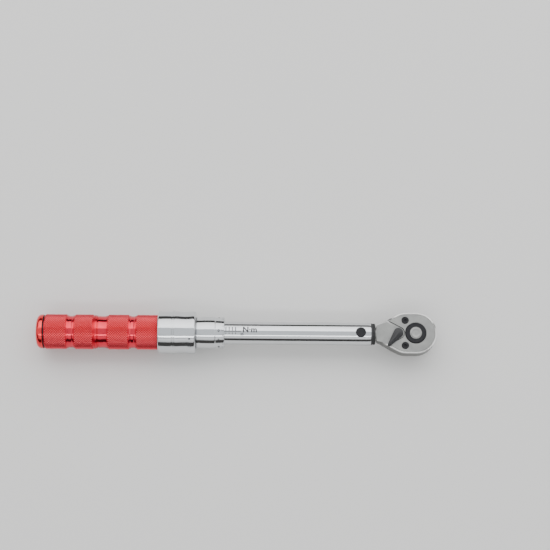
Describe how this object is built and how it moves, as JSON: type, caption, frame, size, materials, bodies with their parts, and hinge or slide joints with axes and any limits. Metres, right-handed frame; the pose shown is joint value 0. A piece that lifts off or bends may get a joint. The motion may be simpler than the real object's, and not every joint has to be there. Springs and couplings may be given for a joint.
{
  "type": "torque wrench",
  "caption": "Click torque wrench with a knurled grip, a turning thimble with a scale, a sliding lock collar and a reversible ratchet head with a square drive.",
  "frame": {"origin": "centre of the end face of the square drive", "axes": "+X along the wrench from the grip to the head, +Z from the square drive to the reversing lever"},
  "size_m": [0.28, 0.0306, 0.0306],
  "materials": {
    "satin_chrome": "satin",
    "polished_chrome": "polished",
    "black_oxide": "satin",
    "satin_steel": "satin",
    "bright_steel": "polished",
    "spring_steel": "satin",
    "black_lever": "satin",
    "rubber": "matt",
    "brass": "satin",
    "red_anodised": "satin"
  },
  "bodies": {
    "barrel": {"tube": "polished_chrome", "pivot_pin": "black_oxide", "dust_ring": "rubber", "lead_nut": "brass", "nut_pin": "satin_steel", "main_spring": "spring_steel"},
    "head": {"head_forging": "satin_chrome", "cover_plate": "satin_chrome", "cover_screws": "black_oxide"},
    "drive": {"drive_gear": "black_oxide", "release_spring": "spring_steel"},
    "button": {"release_button": "satin_steel"},
    "detent": {"detent_ball": "bright_steel"},
    "lever": {"reversing_lever": "black_lever", "lever_plunger": "bright_steel", "lever_spring": "spring_steel"},
    "pawl": {"pawl": "satin_steel"},
    "block": {"tilt_block": "bright_steel"},
    "plunger": {"plunger": "satin_steel"},
    "seat": {"spring_seat": "satin_steel", "thrust_ball": "bright_steel"},
    "handle": {"spindle": "satin_steel", "handle_sleeve": "satin_steel", "grip": "red_anodised", "clamp_nut": "satin_steel", "end_cap": "red_anodised", "thimble": "polished_chrome", "thimble_screw": "black_oxide", "stop_ring": "satin_steel", "lock_spring": "spring_steel"},
    "collar": {"lock_collar": "polished_chrome"},
    "ball_1": {"lock_ball_1": "bright_steel"},
    "ball_2": {"lock_ball_2": "bright_steel"},
    "ball_3": {"lock_ball_3": "bright_steel"}
  },
  "joints": [
    {"name": "head_click", "type": "hinge", "parent": "barrel", "child": "head", "pos_m": [-0.0384, 0, 0.0153], "axis": [0, 0, 1], "range_deg": [-2.5, 2.5], "stiffness_Nm_per_rad": 5},
    {"name": "drive_turn", "type": "hinge", "parent": "head", "child": "drive", "pos_m": [0, 0, 0], "axis": [0, 0, 1], "continuous": true},
    {"name": "button_press", "type": "slide", "parent": "drive", "child": "button", "axis": [0, 0, -1], "range_m": [0, 0.002], "stiffness_N_per_m": 200, "springref_m": -0.001, "deforming": ["release_spring"]},
    {"name": "ball_retract", "type": "slide", "parent": "drive", "child": "detent", "axis": [0, -1, 0], "range_m": [0, 0.0005]},
    {"name": "lever_throw", "type": "hinge", "parent": "head", "child": "lever", "pos_m": [-0.0122, 0, 0.02], "axis": [0, 0, 1], "range_deg": [-106, 0]},
    {"name": "pawl_rock", "type": "hinge", "parent": "head", "child": "pawl", "pos_m": [-0.0122, 0, 0.015], "axis": [0, 0, 1], "range_deg": [0, 7.02]},
    {"name": "block_tilt", "type": "hinge", "parent": "barrel", "child": "block", "pos_m": [-0.0835, 0, 0.0153], "axis": [0, 0, 1], "range_deg": [-17.52, 17.52]},
    {"name": "plunger_slide", "type": "slide", "parent": "barrel", "child": "plunger", "axis": [-1, 0, 0], "range_m": [0, 0.0006], "stiffness_N_per_m": 1000, "springref_m": -0.002},
    {"name": "seat_advance", "type": "slide", "parent": "barrel", "child": "seat", "axis": [1, 0, 0], "range_m": [0, 0.00991], "deforming": ["main_spring"]},
    {"name": "handle_turn", "type": "hinge", "parent": "seat", "child": "handle", "pos_m": [-0.2, 0, 0.0153], "axis": [1, 0, 0], "range_deg": [0, 1584]},
    {"name": "collar_pull", "type": "slide", "parent": "handle", "child": "collar", "axis": [-1, 0, 0], "range_m": [0, 0.004], "stiffness_N_per_m": 400, "springref_m": -0.003, "deforming": ["lock_spring"]},
    {"name": "ball_1_slide", "type": "slide", "parent": "handle", "child": "ball_1", "axis": [0, -1, 0], "range_m": [0, 0.00031]},
    {"name": "ball_2_slide", "type": "slide", "parent": "handle", "child": "ball_2", "axis": [0, 0.5, -0.866], "range_m": [0, 0.00031]},
    {"name": "ball_3_slide", "type": "slide", "parent": "handle", "child": "ball_3", "axis": [0, 0.5, 0.866], "range_m": [0, 0.00031]}
  ],
  "couplings": [
    {"joint": "ball_retract", "follows": "button_press", "ratio": 0.25},
    {"joint": "pawl_rock", "follows": "lever_throw", "ratio": -0.066038},
    {"joint": "block_tilt", "follows": "head_click", "ratio": -7},
    {"joint": "seat_advance", "follows": "handle_turn", "m_per_rad": 0.0003581},
    {"joint": "ball_1_slide", "follows": "collar_pull", "ratio": 0.075},
    {"joint": "ball_2_slide", "follows": "collar_pull", "ratio": 0.075},
    {"joint": "ball_3_slide", "follows": "collar_pull", "ratio": 0.075}
  ]
}
